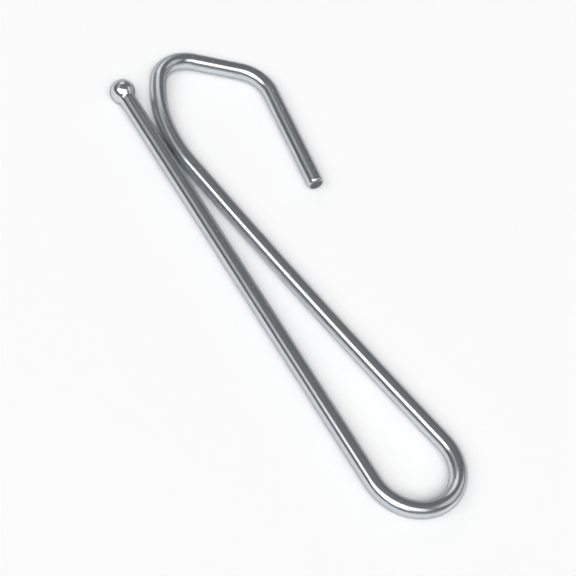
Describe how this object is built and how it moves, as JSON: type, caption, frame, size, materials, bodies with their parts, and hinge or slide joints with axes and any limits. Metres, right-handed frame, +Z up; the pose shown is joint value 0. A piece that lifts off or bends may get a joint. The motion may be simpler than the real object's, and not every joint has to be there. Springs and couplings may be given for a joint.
{
  "type": "curtain hook",
  "caption": "Slip-on curtain hook of bent round wire: a beaded prong and a shank form a hairpin for the pleat, and the shank curls over into an open hook for a glider.",
  "frame": {"origin": "middle of the hook's box, on the surface that it lies on", "axes": "+X along the straight prong, from its bead towards the loop; +Y from the prong towards the hook's end leg; +Z up, square to the flat hook"},
  "size_m": [0.0658, 0.0204, 0.003],
  "materials": {
    "plated_steel": "bright zinc plating on drawn steel wire"
  },
  "bodies": {
    "root": {"wire_hook": "plated_steel"}
  },
  "joints": []
}
